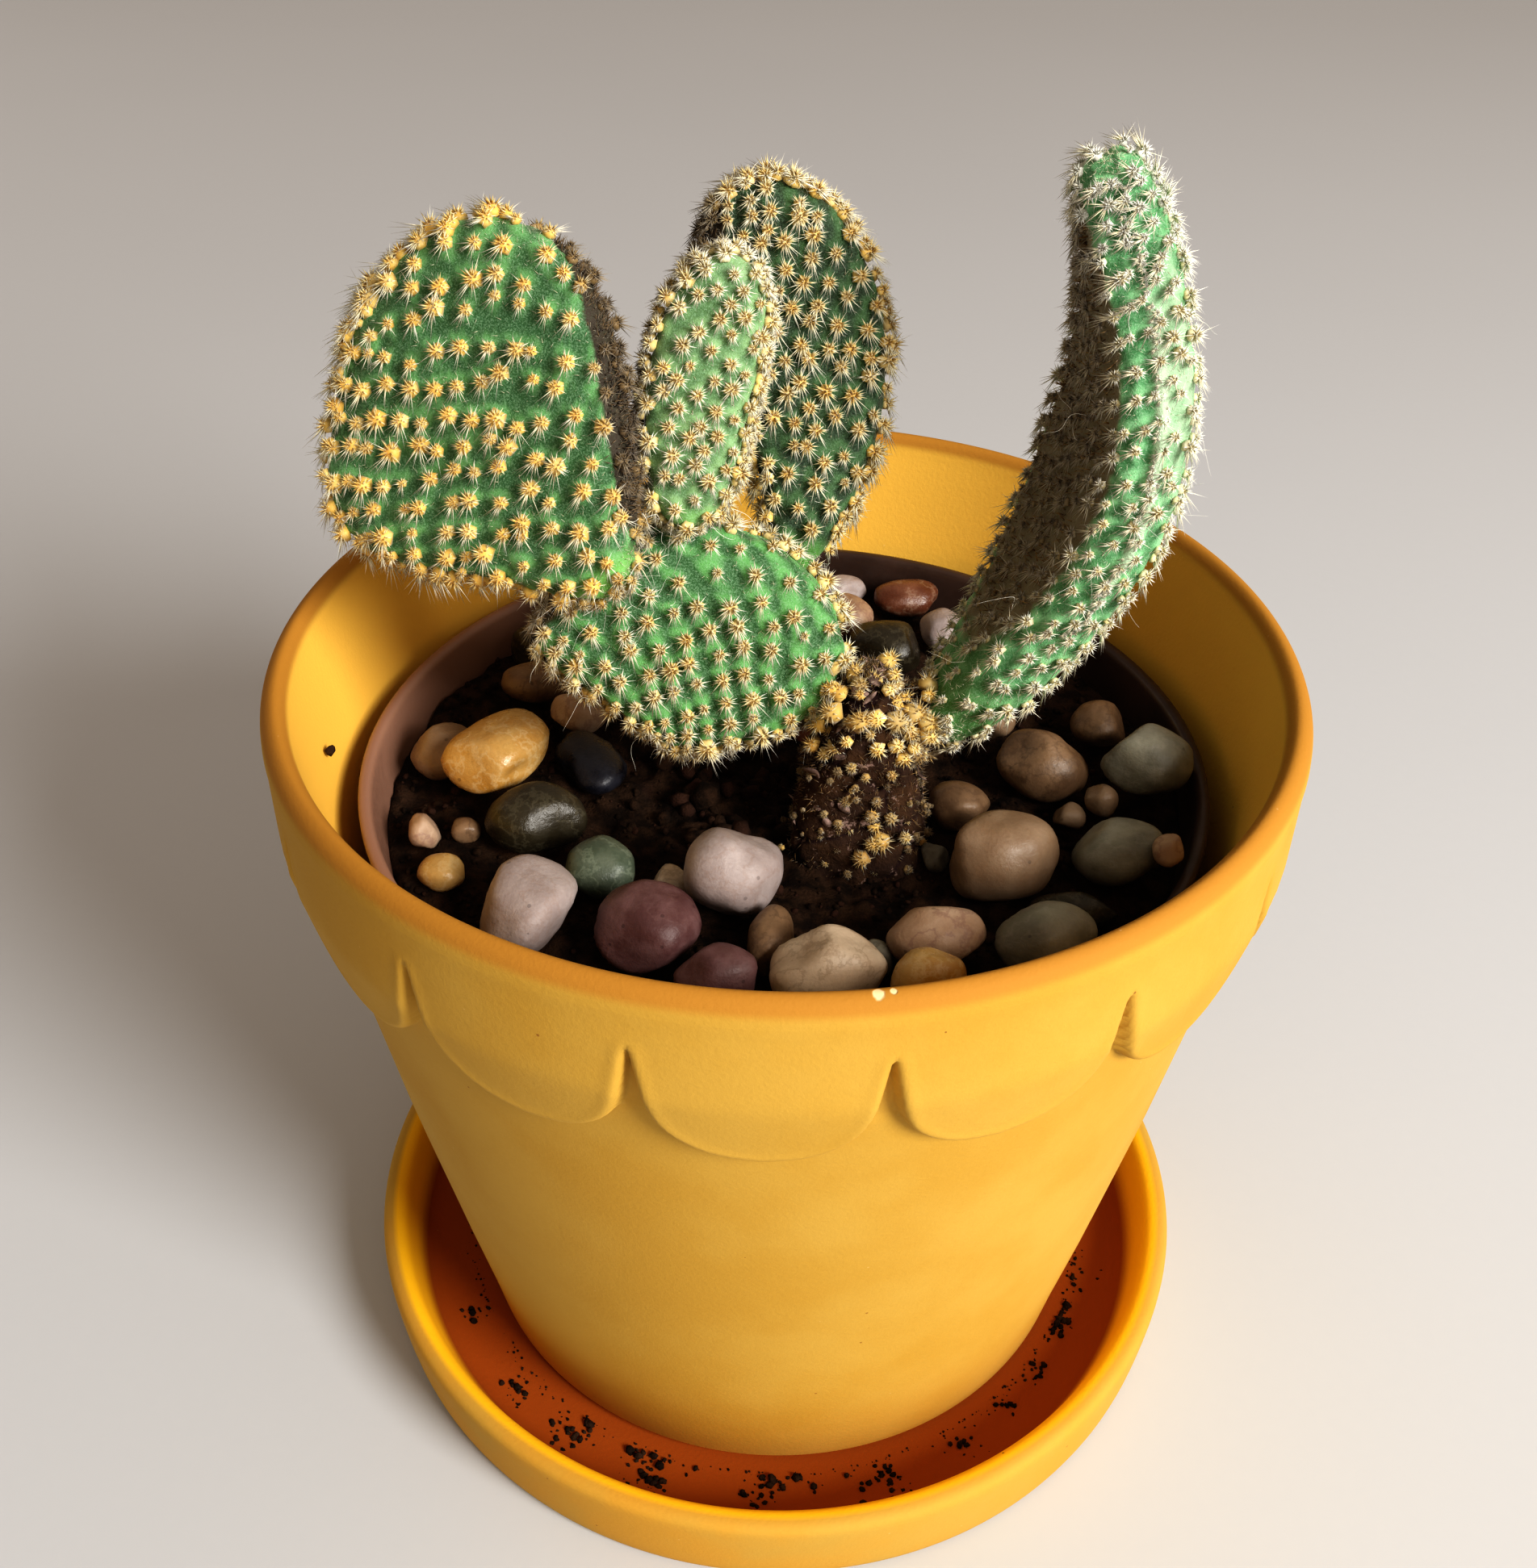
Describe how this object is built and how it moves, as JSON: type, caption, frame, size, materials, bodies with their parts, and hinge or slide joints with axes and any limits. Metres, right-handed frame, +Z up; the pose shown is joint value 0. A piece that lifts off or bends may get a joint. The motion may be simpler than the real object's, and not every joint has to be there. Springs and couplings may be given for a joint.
{
  "type": "potted bunny ears cactus",
  "caption": "Bunny ears cactus with tufted oval pads on a woody stem, in a scalloped clay pot on a saucer, with pebbles on its soil.",
  "frame": {"origin": "centre of the saucer's flat underside, on the pot's axis", "axes": "+Z up along the pot's axis, -Y towards the front from which the plant is seen, +X to the right"},
  "size_m": [0.1199, 0.12, 0.1641],
  "materials": {
    "painted_clay": "matte painted terracotta",
    "nursery_plastic": "thin brown translucent plastic",
    "potting_soil": "dark crumbly potting soil",
    "corky_bark": "rough corky bark",
    "cactus_skin": "velvety green skin with golden glochid tufts",
    "amber": "smooth tumbled pebble",
    "peach": "smooth tumbled pebble",
    "black": "smooth tumbled pebble",
    "olive": "smooth tumbled pebble",
    "brown": "smooth tumbled pebble",
    "rose": "smooth tumbled pebble",
    "green": "smooth tumbled pebble",
    "white": "smooth tumbled pebble",
    "maroon": "smooth tumbled pebble",
    "cream": "smooth tumbled pebble",
    "grey": "smooth tumbled pebble",
    "slate": "smooth tumbled pebble",
    "russet": "smooth tumbled pebble"
  },
  "bodies": {
    "root": {"saucer": "painted_clay", "pot": "painted_clay", "nursery_pot": "nursery_plastic", "soil": "potting_soil", "woody_stem": "corky_bark", "pad_lower": "cactus_skin", "pad_left": "cactus_skin", "pad_middle": "cactus_skin", "pad_back": "cactus_skin", "pad_right": "cactus_skin", "pebble_01_peach": "peach", "pebble_02_amber": "amber", "pebble_03_black": "black", "pebble_04_olive": "olive", "pebble_05_brown": "brown", "pebble_06_rose": "rose", "pebble_07_rose": "rose", "pebble_08_brown": "brown", "pebble_09_amber": "amber", "pebble_10_green": "green", "pebble_11_white": "white", "pebble_12_maroon": "maroon", "pebble_13_white": "white", "pebble_14_cream": "cream", "pebble_15_maroon": "maroon", "pebble_16_brown": "brown", "pebble_17_cream": "cream", "pebble_18_grey": "grey", "pebble_19_rose": "rose", "pebble_20_amber": "amber", "pebble_21_slate": "slate", "pebble_22_olive": "olive", "pebble_23_peach": "peach", "pebble_24_brown": "brown", "pebble_25_peach": "peach", "pebble_26_peach": "peach", "pebble_27_slate": "slate", "pebble_28_slate": "slate", "pebble_29_brown": "brown", "pebble_30_brown": "brown", "pebble_31_grey": "grey", "pebble_32_rose": "rose", "pebble_33_white": "white", "pebble_34_rose": "rose", "pebble_35_olive": "olive", "pebble_36_russet": "russet", "pebble_37_white": "white", "pebble_38_green": "green", "pebble_39_grey": "grey", "pebble_40_maroon": "maroon", "pebble_41_cream": "cream", "pebble_42_olive": "olive", "pebble_43_white": "white", "pebble_44_slate": "slate", "pebble_45_brown": "brown", "pebble_46_russet": "russet", "pebble_47_peach": "peach"}
  },
  "joints": []
}
